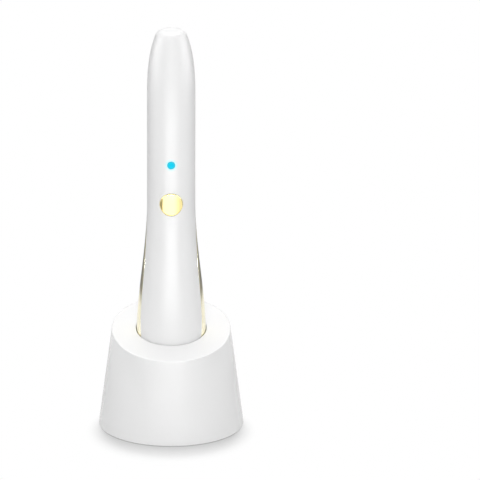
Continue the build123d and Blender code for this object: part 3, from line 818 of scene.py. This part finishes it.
def add_trim(name, side):
    """Trim on the right (+1) or left (-1) side, raised a little between its edges."""
    heights = TRIM_CURVE[trim_width(TRIM_CURVE[:, 0]) > 2 * SEAM_INSET + TRIM_TIP_WIDTH, 0]
    shares = 0.5 - 0.5 * np.cos(np.linspace(0, math.pi, TRIM_ROWS))
    z = heights[0] + (heights[-1] - heights[0]) * shares
    outline = np.column_stack([wand_radius(z), z])
    front = border_angles(outline, trim_width(z) - SEAM_INSET)
    back = border_angles(outline, np.full(len(outline), SEAM_INSET))
    low, high = (front, back) if side > 0 else (-back, -front)
    bm = bmesh.new()
    rows = wand_rows(bm, outline, low, high, TRIM_COLUMNS, TRIM_BEAD)
    grid_faces(bm, rows, False)
    thicken(bm, TRIM_WALL, SEAM_EDGE)
    add_piece(name + "_bead", bm, "wand", "gold_trim", name)


# Plasma window


def slot_rings(bm, path, length, width):
    """Rings that follow a slot's edge, at each (distance inside it, depth under the window) of a path."""
    rings = []
    for inset, depth in path:
        flat = stadium(length - 2 * inset, width - 2 * inset)
        rings.append(row_of(bm, window_place(flat[:, 0], flat[:, 1], np.full(len(flat), depth))))
    return rings


def arc(centre, radius, start, end, count):
    """Points of an arc in a (distance, depth) path, angles in degrees."""
    turn = np.radians(np.linspace(start, end, count))
    return [(centre[0] + radius * math.cos(a), centre[1] + radius * math.sin(a)) for a in turn]


def slot_solid(name, path, length, width, closed, slot, node):
    """Closed path: a ring. Open path: a plate whose first and last points meet on the middle line."""
    bm = bmesh.new()
    rings = slot_rings(bm, path, length, width)
    if closed:
        rings.append(rings[0])
    bridge_all(bm, rings)
    add_piece(name, bm, "wand", slot, node)


def add_window_rim():
    rim, soft, inner = FRAME_RIM, FRAME_ROUND, FRAME_ROUND / 2
    path = [(0, FRAME_DEPTH)]
    path += arc((soft, soft), soft, 180, 270, SOFT_POINTS)
    path += arc((rim - inner, inner), inner, 270, 360, INNER_POINTS)
    path += [(rim, LEDGE_DEPTH), (rim + LEDGE_SIDE, LEDGE_DEPTH), (rim + LEDGE_SIDE, FRAME_DEPTH)]
    slot_solid("window_rim", path, BEZEL_LENGTH + 2 * rim, BEZEL_WIDTH + 2 * rim, True,
               "window_white", "window_frame")


def add_bezel():
    """Black ring between the rim and the plate."""
    top, low, gap = BEZEL_SINK, BEZEL_SINK + BEZEL_THICKNESS, SEAM_GAP / 2
    bm = bmesh.new()
    edge, across = BEZEL_EDGE, BEZEL_EDGE + gap
    outer_path = [(gap, low)] + arc((across, top + edge), edge, 180, 270, BEZEL_POINTS)
    inner_path = arc((-across, top + edge), edge, 270, 360, BEZEL_POINTS) + [(-gap, low)]
    rings = slot_rings(bm, outer_path, BEZEL_LENGTH, BEZEL_WIDTH)
    rings += slot_rings(bm, inner_path, PLATE_LENGTH, PLATE_WIDTH)
    bridge_all(bm, rings + rings[:1])
    add_piece("window_surround", bm, "wand", "bezel_black", "window_bezel")


def add_plate():
    """White ceramic plate, let into the bezel."""
    low, edge, half = BEZEL_SINK + BEZEL_THICKNESS, PLATE_EDGE, PLATE_WIDTH / 2
    path = [(half, PLATE_SINK), (half / 2, PLATE_SINK)]
    path += arc((edge, PLATE_SINK + edge), edge, 270, 180, INNER_POINTS)
    path += [(0, low), (half, low)]
    slot_solid("window_plate", path, PLATE_LENGTH, PLATE_WIDTH, False, "window_ceramic", "ceramic_plate")


# Button and status light


def disc_rings(bm, radii, heights, centre_z):
    """Rings about an axis along Y. The function heights(x, z, index) gives their Y."""
    turn = np.linspace(0, 2 * math.pi, DISC_POINTS, endpoint=False)
    rings = []
    for index, radius in enumerate(radii):
        x = radius * np.cos(turn)
        z = centre_z + radius * np.sin(turn)
        y = heights(x, z, index)
        rings.append(row_of(bm, np.column_stack([x, y + np.zeros(len(x)), z])))
    return rings


def stepped_disc(bm, centre_z, radius, lift, roll, flange_radius, flange_front_y, flange_back_y, dome=0.0):
    """Disc that follows the wand's form, lifted off it, on a wider flange inside the shell.

    Its edge rolls down over a width and a height."""
    width, drop = roll
    turn = np.linspace(0, math.pi / 2, ROLL_POINTS)[1:]
    face = np.append(np.linspace(0, radius - width - FACE_MARGIN, FACE_RINGS), radius - width)
    radii = np.concatenate([face, radius - width + width * np.sin(turn)])
    drops = np.concatenate([np.zeros(len(face)), drop * (1 - np.cos(turn))])

    def height(x, z, index):
        surface = -DEPTH_RATIO * np.sqrt((wand_radius(z) + lift) ** 2 - x**2)
        return surface - dome * (1 - (radii[index] / radius) ** 2) + drops[index]

    rings = disc_rings(bm, radii, height, centre_z)
    lower = [(radius, flange_front_y), (flange_radius, flange_front_y), (flange_radius, flange_back_y),
             (0.0, flange_back_y)]
    rings += disc_rings(bm, [r for r, _ in lower], lambda x, z, index: lower[index][1], centre_z)
    bridge_all(bm, rings)


def add_button():
    bm = bmesh.new()
    stepped_disc(bm, BUTTON_Z, BUTTON_RADIUS, BUTTON_PROUD, (BUTTON_ROLL, BUTTON_PROUD),
                 BUTTON_FLANGE_RADIUS, BUTTON_BACK_Y - BUTTON_FLANGE_THICKNESS, BUTTON_BACK_Y)
    button = add_piece("button_face", bm, "button", "gold_trim", "button_cap")
    button.data.materials[0] = finishes["gold_button"]


def add_lens():
    flange_y = -(HEAD_RADIUS - SHELL_WALL) * DEPTH_RATIO + LENS_FLANGE_THICKNESS
    bm = bmesh.new()
    stepped_disc(bm, LENS_Z, LENS_RADIUS, 0.0, (SEAM_EDGE, SEAM_EDGE), LENS_FLANGE_RADIUS, flange_y,
                 LENS_BACK_Y, LENS_DOME)
    add_piece("light_face", bm, "wand", "light_cyan", "light_lens")


# Dock


def dock_column(turn):
    """Outline of the dock's wall at one angle: outer points, then inner ones, each row the same shape."""
    cosine, sine = math.cos(turn), math.sin(turn)

    def cone(z, inset=0.0):
        radius = DOCK_BASE_RADIUS - z * DOCK_SLOPE - inset
        return np.array((radius * cosine, radius * sine, z))

    def cone_top(height, inset=0.0):
        radius = DOCK_BASE_RADIUS - inset
        return cone((height + radius * sine * TOP_SLOPE) / (1 + DOCK_SLOPE * sine * TOP_SLOPE), inset)

    def mouth(height):
        radius = BULGE_RADIUS + WELL_CLEARANCE
        y = radius * DEPTH_RATIO * sine
        return np.array((radius * cosine, y, height + y * TOP_SLOPE))

    under = DOCK_HEIGHT - DOCK_TOP_WALL * math.sqrt(1 + TOP_SLOPE**2)
    foot, rim, lip = cone(DOCK_BOTTOM), cone_top(DOCK_HEIGHT), mouth(DOCK_HEIGHT)
    lip_end, inner_rim, inner_foot = mouth(under), cone_top(under, WALL_INSET), cone(DOCK_BOTTOM, WALL_INSET)
    foot_round = fillet_points(inner_foot, foot, rim, BASE_EDGE, FOOT_POINTS)
    rim_round = fillet_points(foot, rim, lip, RIM_EDGE, RIM_POINTS)
    lip_round = fillet_points(rim, lip, lip_end, MOUTH_EDGE, LIP_POINTS)
    wall_top = rim_round[0][2] - RIM_EDGE
    outer_wall = [cone(z) for z in np.linspace(WALL_START, wall_top, WALL_ROWS)]
    top = list(np.linspace(rim_round[-1], lip_round[0], TOP_POINTS)[1:-1])
    under_top = list(np.linspace(lip_end, inner_rim, UNDER_POINTS))
    inner_wall = [cone(z, WALL_INSET) for z in np.linspace(wall_top - DOCK_TOP_WALL, WALL_START, WALL_ROWS)]
    path = foot_round + outer_wall + rim_round + top + lip_round + under_top + inner_wall + [inner_foot]
    return path, len(foot_round), len(path) - 2


def inlet_ring(width, height, count_like, y):
    """Slot's edge across the inlet at one depth, with a point for each of a hole's border points."""
    outline = nearest_on_stadium(count_like[:, ::-1], width, height)[:, ::-1]
    return np.column_stack([outline[:, 0], np.full(len(outline), y), outline[:, 1] + INLET_Z])


def on_cone(points, inset):
    """Points moved along Y onto the back of the dock's cone, drawn in by inset."""
    x, z = points[:, 0], points[:, 2]
    return np.column_stack([x, np.sqrt((DOCK_BASE_RADIUS - z * DOCK_SLOPE - inset)**2 - x**2), z])


def inlet_rings(border, inner_border):
    """Rings from the outer wall's hole through the recess and round its tunnel to the inner wall's."""
    flat, inner_flat = flat_points(border, INLET_Z), flat_points(inner_border, INLET_Z)
    floor_y = DOCK_BASE_RADIUS - INLET_Z * DOCK_SLOPE - RECESS_DEPTH
    back_y = floor_y - RECESS_WALL
    tunnel = RECESS_WIDTH + 2 * RECESS_WALL, RECESS_HEIGHT + 2 * RECESS_WALL
    wide = inlet_ring(RECESS_WIDTH + 2 * RECESS_EDGE, RECESS_HEIGHT + 2 * RECESS_EDGE, flat, 0)
    narrow = inlet_ring(RECESS_WIDTH, RECESS_HEIGHT, flat, 0)
    start = np.array([vertex.co for vertex in border])
    rings = [on_cone(start * (1 - share) + wide * share, 0) for share in INLET_SHARES]
    for turn in np.linspace(0, math.pi / 2, FOOT_POINTS)[1:]:
        ring = on_cone(wide + (narrow - wide) * math.sin(turn), 0)
        rings.append(ring - (0, RECESS_EDGE * (1 - math.cos(turn)), 0))
    rings.append(inlet_ring(RECESS_WIDTH, RECESS_HEIGHT, flat, floor_y))
    rings += [inlet_ring(SOCKET_WIDTH, SOCKET_HEIGHT, flat, y) for y in (floor_y, back_y)]
    rings.append(inlet_ring(*tunnel, inner_flat, back_y))
    rings.append(on_cone(inlet_ring(*tunnel, inner_flat, 0), WALL_INSET))
    return rings


def add_dock():
    bm = bmesh.new()
    paths = []
    for i in range(DOCK_COLUMNS):
        path, first_outer, last_inner = dock_column(2 * math.pi * i / DOCK_COLUMNS)
        paths.append(path)
    rows = [row_of(bm, [path[i] for path in paths]) for i in range(len(paths[0]))]
    rows.append(rows[0])
    back = DOCK_COLUMNS // 4
    columns = back - INLET_HALF_COLUMNS, back + INLET_HALF_COLUMNS
    outer_heights = [rows[first_outer + i][back].co.z for i in range(WALL_ROWS)]
    hole_top = INLET_Z + RECESS_HEIGHT / 2 + RECESS_WALL + INLET_MARGIN
    reach = sum(1 for z in outer_heights if z < hole_top)
    outer_hole = (first_outer, first_outer + reach, *columns)
    inner_hole = (last_inner - reach, last_inner, *columns)
    grid_faces(bm, rows, True, (outer_hole, inner_hole))
    border = hole_border(rows, outer_hole)
    last = len(rows) - 1
    inner_border = hole_border(rows[::-1], (last - inner_hole[1], last - inner_hole[0], *columns))
    rings = [row_of(bm, ring) for ring in inlet_rings(border, inner_border)]
    bridge_all(bm, [border] + rings + [inner_border])
    add_bosses(bm)
    add_piece("dock_body", bm, "dock", "dock_white", "dock_shell")


def add_bosses(bm):
    """Hollow posts inside the dock that its base screws go into."""
    bottom = DOCK_BOTTOM + BASE_THICKNESS
    distance = DOCK_BASE_RADIUS - bottom * DOCK_SLOPE - DOCK_WALL - BOSS_INSET
    turns = np.linspace(0, 2 * math.pi, BOSS_POINTS, endpoint=False)
    top = bottom + BOSS_HEIGHT
    bore_top = top - BASE_THICKNESS
    path = [(0, top), (BOSS_RADIUS, top), (BOSS_RADIUS, bottom), (SCREW_RADIUS, bottom),
            (SCREW_RADIUS, bore_top), (0, bore_top)]
    for i in range(BOSS_COUNT):
        place = 2 * math.pi * (i + 0.5) / BOSS_COUNT
        x, y = distance * math.cos(place), distance * math.sin(place)
        bridge_all(bm, [
            row_of(bm, [(x + r * math.cos(a), y + r * math.sin(a), z) for a in turns]) for r, z in path
        ])


# Materials: patches in a metre over which colour and gloss drift, the share of the roughness that it
# drifts by, and the strength of the grain
PLASTIC_TONE = 35
PLASTIC_GLOSS = 90
PLASTIC_DRIFT = 1 / 10
PLASTIC_DETAIL = 3.0
PLASTIC_BUMP = 0.5
METAL_TONE = 60
METAL_GLOSS = 150
METAL_DRIFT = 1 / 6
METAL_MARKS = 900
METAL_BUMP = 0.4

# Plastics, rubber and ceramic: colour, roughness, the grain's patches in a metre and its depth in metres,
# then the clear coat, the drift in colour and the coat's roughness where they differ from the usual
PLASTICS = {
    "wand_white": ((0.9, 0.9, 0.9), 0.36, 260, 2e-6, 0.1, 0.02, 0.25),
    "window_white": ((0.93, 0.93, 0.93), 0.16, 260, 1e-6, 0.3),
    "bezel_black": ((0.008, 0.008, 0.009), 0.1, 300, 1e-6, 0.6, 0.2),
    "window_ceramic": ((0.94, 0.94, 0.93), 0.22, 1500, 2e-6, 0.0, 0.01),
    "gasket_silicone": ((0.7, 0.7, 0.7), 0.6, 800, 1e-5),
    "carrier_black": ((0.04, 0.04, 0.045), 0.5, 1200, 1e-5, 0.0, 0.2),
    "lead_insulation": ((0.62, 0.08, 0.07), 0.5, 900, 1e-5, 0.0, 0.1),
    "switch_body": ((0.09, 0.09, 0.1), 0.45, 1500, 1e-5, 0.0, 0.1),
    "led_chip": ((0.9, 0.88, 0.72), 0.35, 1500, 5e-6),
    "chip_black": ((0.03, 0.03, 0.03), 0.55, 2000, 1e-5, 0.0, 0.2),
    "potting": ((0.06, 0.06, 0.07), 0.4, 150, 5e-5, 0.1, 0.2),
    "cell_wrap": ((0.13, 0.33, 0.55), 0.3, 200, 1e-5, 0.3),
    "chassis_plastic": ((0.82, 0.82, 0.8), 0.5, 1500, 2e-5),
    "dock_white": ((0.9, 0.9, 0.9), 0.24, 260, 2e-6, 0.7),
    "base_plastic": ((0.84, 0.84, 0.84), 0.5, 1500, 2e-5),
    "foot_rubber": ((0.55, 0.55, 0.56), 0.75, 900, 4e-5, 0.0, 0.08),
}

# Metals: colour, roughness, how close the marks lie along X, Y and Z, then their depth in metres and the
# drift in colour where they differ from the usual
METALS = {
    "gold_trim": ((0.92, 0.87, 0.67), 0.14, (1, 1, 0.1), 5e-7, 0.02),
    "gold_button": ((0.94, 0.8, 0.37), 0.08, (1, 1, 0.1), 5e-7, 0.02),
    "electrode_metal": ((0.86, 0.58, 0.36), 0.3, (1, 1, 0.05)),
    "screw_steel": ((0.62, 0.62, 0.63), 0.3, (1, 1, 1)),
    "contact_gold": ((0.9, 0.72, 0.36), 0.2, (1, 1, 1)),
    "spring_steel": ((0.6, 0.6, 0.6), 0.3, (1, 1, 8)),
    "ballast_iron": ((0.25, 0.25, 0.26), 0.6, (1, 1, 1), 6e-5, 0.3),
    "inlet_steel": ((0.66, 0.67, 0.68), 0.25, (1, 0.1, 1)),
}

# Two colours, roughness, pattern's patches in a metre, and the strength and depth of its relief
BOARD = (0.02, 0.2, 0.09), (0.05, 0.32, 0.14), 0.35, 260, 0.5, 2e-5
TRACK_GAP = 0.06
BOARD_GLOSS = (0.35, 0.05, 300)
FOAM = (0.24, 0.24, 0.25), (0.15, 0.15, 0.16), 0.95, 1800, 0.8, 1e-4
BAND_COLOUR = (0.03, 0.06, 0.1)


def new_material(name):
    material = bpy.data.materials.new(name)
    material.use_nodes = True
    return material, material.node_tree, material.node_tree.nodes["Principled BSDF"]


def own_place(tree):
    """Place on the piece, in its own coordinates."""
    return tree.nodes.new("ShaderNodeTexCoord").outputs["Object"]


def noise(tree, scale, detail=2.0, stretch=(1, 1, 1)):
    """Noise in the piece's own coordinates. The scale is the number of patches in a metre."""
    mapping = plug(tree.nodes.new("ShaderNodeMapping"), ("Scale", stretch), ("Vector", own_place(tree)))
    made = plug(tree.nodes.new("ShaderNodeTexNoise"), ("Scale", scale), ("Detail", detail),
                ("Vector", mapping.outputs["Vector"]))
    return made.outputs["Fac"]


def blend_colours(tree, share, first, second):
    made = tree.nodes.new("ShaderNodeMix")
    made.data_type = "RGBA"
    ends = [(*colour, 1) if isinstance(colour, tuple) else colour for colour in (first, second)]
    plug(made, ("A", ends[0]), ("B", ends[1]), ("Factor", share))
    return made.outputs["Result"]


def darker(colour, share):
    return tuple(channel * (1 - share) for channel in colour)


def vary(tree, shader, name, level, spread, scale):
    """Lets a shader value drift by its spread over patches of the surface."""
    plug(shader, (name, ramp(tree, noise(tree, scale), NOISE_MIDDLE, level - spread, level + spread)))


def roughen(tree, shader, height, strength, depth):
    bump = plug(tree.nodes.new("ShaderNodeBump"), ("Strength", strength), ("Distance", depth),
                ("Height", height))
    plug(shader, ("Normal", bump.outputs["Normal"]))


def moulded(name, colour, roughness, grain_scale, grain_depth, coat=0.0, spread=0.02, coat_roughness=0.04):
    """Plastic, rubber or ceramic: a faint drift in colour and gloss, and the grain of its mould."""
    material, tree, shader = new_material(name)
    tone = blend_colours(tree, noise(tree, PLASTIC_TONE), darker(colour, spread), colour)
    plug(shader, ("Base Color", tone), ("Coat Weight", coat), ("Coat Roughness", coat_roughness))
    vary(tree, shader, "Roughness", roughness, roughness * PLASTIC_DRIFT, PLASTIC_GLOSS)
    roughen(tree, shader, noise(tree, grain_scale, PLASTIC_DETAIL), PLASTIC_BUMP, grain_depth)
    return material


def metal(name, colour, roughness, stretch, grain_depth=2e-6, spread=0.05):
    """Metal with fine marks drawn out along one axis."""
    material, tree, shader = new_material(name)
    tone = blend_colours(tree, noise(tree, METAL_TONE), darker(colour, spread), colour)
    plug(shader, ("Metallic", 1.0), ("Base Color", tone))
    vary(tree, shader, "Roughness", roughness, roughness * METAL_DRIFT, METAL_GLOSS)
    roughen(tree, shader, noise(tree, METAL_MARKS, stretch=stretch), METAL_BUMP, grain_depth)
    return material


def distance_from(tree, x, y, z):
    """Distance from a place in millimetres, in metres."""
    made = tree.nodes.new("ShaderNodeVectorMath")
    made.operation = "DISTANCE"
    return plug(made, (0, own_place(tree)), (1, (x * MM, y * MM, z * MM))).outputs["Value"]


def lens_front():
    return 0.0, -DEPTH_RATIO * HEAD_RADIUS, LENS_Z


def recolour(material, share, colour):
    """Lets a finished material change to another colour where the share is 1."""
    shader = material.node_tree.nodes["Principled BSDF"]
    before = shader.inputs["Base Color"].links[0].from_socket
    plug(shader, ("Base Color", blend_colours(material.node_tree, share, before, colour)))


def add_halo(material):
    """A little of the status light showing through the shell round it."""
    tree = material.node_tree
    glow = ramp(tree, distance_from(tree, *lens_front()), HALO_REACH, 1.0, 0.0)
    recolour(material, glow, HALO_TINT)
    plug(tree.nodes["Principled BSDF"], ("Emission Color", (*LIGHT_CYAN, 1)),
         ("Emission Strength", product(tree, glow, HALO_LEVEL)))


def add_end_bands(material):
    """A darker band round each end of the battery's sleeve."""
    tree = material.node_tree
    low, high = node_box("battery_cell")
    height = split_vector(tree, own_place(tree))["Z"]
    ends = maths(tree, "ADD", maths(tree, "LESS_THAN", height, (low.z + CELL_BAND) * MM),
                 maths(tree, "GREATER_THAN", height, (high.z - 2 * CELL_BAND) * MM))
    recolour(material, ends, BAND_COLOUR)


def light_cyan():
    """Tinted light guide, lit from behind and a little darker at its rim."""
    material, tree, shader = new_material("light_cyan")
    centre = distance_from(tree, *lens_front())
    tone = blend_colours(tree, ramp(tree, centre, LIGHT_FADE), LIGHT_CYAN, LIGHT_RIM)
    drift = ramp(tree, noise(tree, LIGHT_PATCHES), NOISE_WIDE, *LIGHT_DRIFT)
    plug(shader, ("Base Color", (*LIGHT_BASE, 1)), ("Roughness", LIGHT_ROUGHNESS),
         ("Specular IOR Level", LIGHT_SPECULAR), ("Emission Color", tone), ("Emission Strength", drift))
    return material


def patterned(name, kind, output, values):
    """Material of two colours that follow a texture, which also stands out a little."""
    first, second, roughness, patches, strength, depth = values
    material, tree, shader = new_material(name)
    pattern = plug(tree.nodes.new(kind), ("Scale", patches), ("Vector", own_place(tree)))
    tone = blend_colours(tree, pattern.outputs[output], first, second)
    plug(shader, ("Base Color", tone), ("Roughness", roughness))
    roughen(tree, shader, pattern.outputs[output], strength, depth)
    return material, tree, shader, pattern


def circuit_board():
    """Green solder mask over faint copper tracks."""
    material, tree, shader, tracks = patterned("board_green", "ShaderNodeTexBrick", "Fac", BOARD)
    plug(tracks, ("Mortar Size", TRACK_GAP))
    vary(tree, shader, "Roughness", *BOARD_GLOSS)
    return material


def make_finishes():
    """Material of each of the record's slots, and of the button's face."""
    made = {name: moulded(name, *values) for name, values in PLASTICS.items()}
    made.update({name: metal(name, *values) for name, values in METALS.items()})
    add_halo(made["wand_white"])
    add_end_bands(made["cell_wrap"])
    made["light_cyan"] = light_cyan()
    made["board_green"] = circuit_board()
    made["foam"] = patterned("foam", "ShaderNodeTexVoronoi", "Distance", FOAM)[0]
    return made


add_camera()
add_lights()
add_world()
add_floor()

finishes = make_finishes()
for part in frame["record"]["subparts"]:
    slots = frame["nodes"][part["node"]].data.materials
    slots.clear()
    slots.append(finishes[part["material_slot"]])

add_front_shell()
add_back_shell()
add_trim("right_side_trim", 1)
add_trim("left_side_trim", -1)
add_window_rim()
add_bezel()
add_plate()
add_button()
add_lens()
add_dock()

scene.view_settings.view_transform = "Standard"
